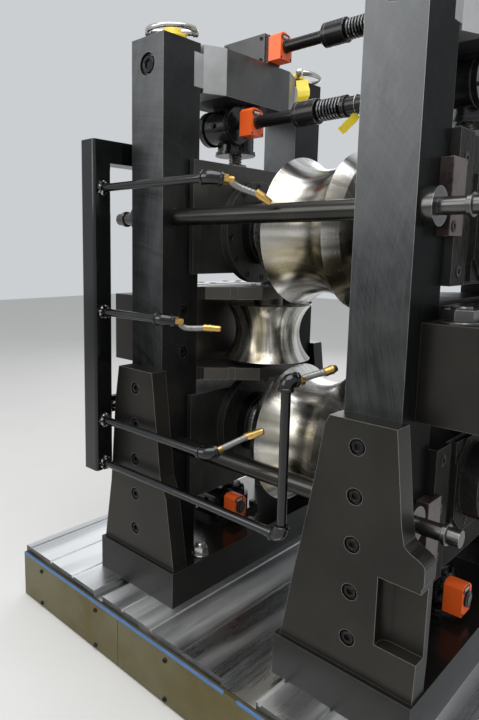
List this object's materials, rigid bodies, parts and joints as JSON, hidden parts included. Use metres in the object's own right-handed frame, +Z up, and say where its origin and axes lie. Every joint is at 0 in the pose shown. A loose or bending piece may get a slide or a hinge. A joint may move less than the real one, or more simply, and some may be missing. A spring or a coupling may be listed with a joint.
{
  "type": "rolling mill stand",
  "caption": "Mill stand for pipe: dark steel housings on a bright machined bed carry grooved rolls above, below and beside the line, with screw jacks and coolant pipes",
  "frame": {"origin": "on the ground, under the middle of the bed", "axes": "X along the horizontal roll axes from the drive side to the operator side, Y along the mill line from entry to exit, Z up"},
  "size_m": [1.912, 1.363, 2.251],
  "materials": {
    "machined_steel": "bright machined steel",
    "dark_steel": "dark milled steel with a satin sheen",
    "black_steel": "black steel plate, matt to satin",
    "black_oxide": "oiled black oxide",
    "black_paint": "gloss black paint",
    "tan_plate": "grey-tan satin plate",
    "orange_plastic": "bright orange moulded plastic",
    "brass": "turned brass"
  },
  "bodies": {
    "housing": {"bed": "machined_steel", "bed_covers": "tan_plate", "drive_sole": "black_steel", "operator_sole": "black_steel", "drive_entry_post": "dark_steel", "drive_exit_post": "dark_steel", "operator_entry_post": "dark_steel", "operator_exit_post": "dark_steel", "drive_entry_gusset": "black_steel", "drive_exit_gusset": "black_steel", "operator_entry_gusset": "black_steel", "operator_exit_gusset": "black_steel", "drive_crossbeam": "dark_steel", "operator_crossbeam": "dark_steel", "upper_tie_bars": "black_oxide", "lower_tie_bars": "black_oxide", "drive_top_jack": "black_oxide", "operator_top_jack": "black_oxide", "drive_bottom_jack": "black_oxide", "operator_bottom_jack": "black_oxide", "drive_lift_gearbox": "dark_steel", "operator_lift_gearbox": "dark_steel", "indicators": "orange_plastic", "top_cross_shaft": "black_oxide", "lift_cross_shaft": "black_oxide", "drive_screw_box": "black_steel", "operator_screw_box": "black_steel", "coolant_manifold": "black_paint", "coolant_pipes": "black_paint", "nozzles": "brass"},
    "top_chocks": {"drive_top_chock": "dark_steel", "operator_top_chock": "dark_steel", "top_jack_screws": "machined_steel"},
    "top_roll_set": {"top_roll": "machined_steel", "top_roll_shaft": "dark_steel"},
    "bottom_chocks": {"drive_bottom_chock": "dark_steel", "operator_bottom_chock": "dark_steel", "bottom_jack_screws": "machined_steel"},
    "bottom_roll_set": {"bottom_roll": "machined_steel", "bottom_roll_shaft": "dark_steel"},
    "drive_yoke_set": {"drive_yoke": "dark_steel"},
    "drive_side_roll_set": {"drive_side_roll": "machined_steel"},
    "operator_yoke_set": {"operator_yoke": "dark_steel"},
    "operator_side_roll_set": {"operator_side_roll": "machined_steel"}
  },
  "joints": [
    {"name": "top_screwdown", "type": "slide", "parent": "housing", "child": "top_chocks", "axis": [0, 0, 1], "range_m": [0, 0.03]},
    {"name": "top_roll_turn", "type": "hinge", "parent": "top_chocks", "child": "top_roll_set", "pos_m": [0.017, 0, 1.506], "axis": [1, 0, 0], "continuous": true},
    {"name": "bottom_screwdown", "type": "slide", "parent": "housing", "child": "bottom_chocks", "axis": [0, 0, 1], "range_m": [-0.03, 0]},
    {"name": "bottom_roll_turn", "type": "hinge", "parent": "bottom_chocks", "child": "bottom_roll_set", "pos_m": [0.017, 0, 0.758], "axis": [1, 0, 0], "continuous": true},
    {"name": "drive_side_screw", "type": "slide", "parent": "housing", "child": "drive_yoke_set", "axis": [-1, 0, 0], "range_m": [0, 0.03]},
    {"name": "drive_side_roll_turn", "type": "hinge", "parent": "drive_yoke_set", "child": "drive_side_roll_set", "pos_m": [-0.2533, 0, 1.132], "axis": [0, 0, 1], "continuous": true},
    {"name": "operator_side_screw", "type": "slide", "parent": "housing", "child": "operator_yoke_set", "axis": [1, 0, 0], "range_m": [0, 0.03]},
    {"name": "operator_side_roll_turn", "type": "hinge", "parent": "operator_yoke_set", "child": "operator_side_roll_set", "pos_m": [0.2873, 0, 1.132], "axis": [0, 0, 1], "continuous": true}
  ]
}
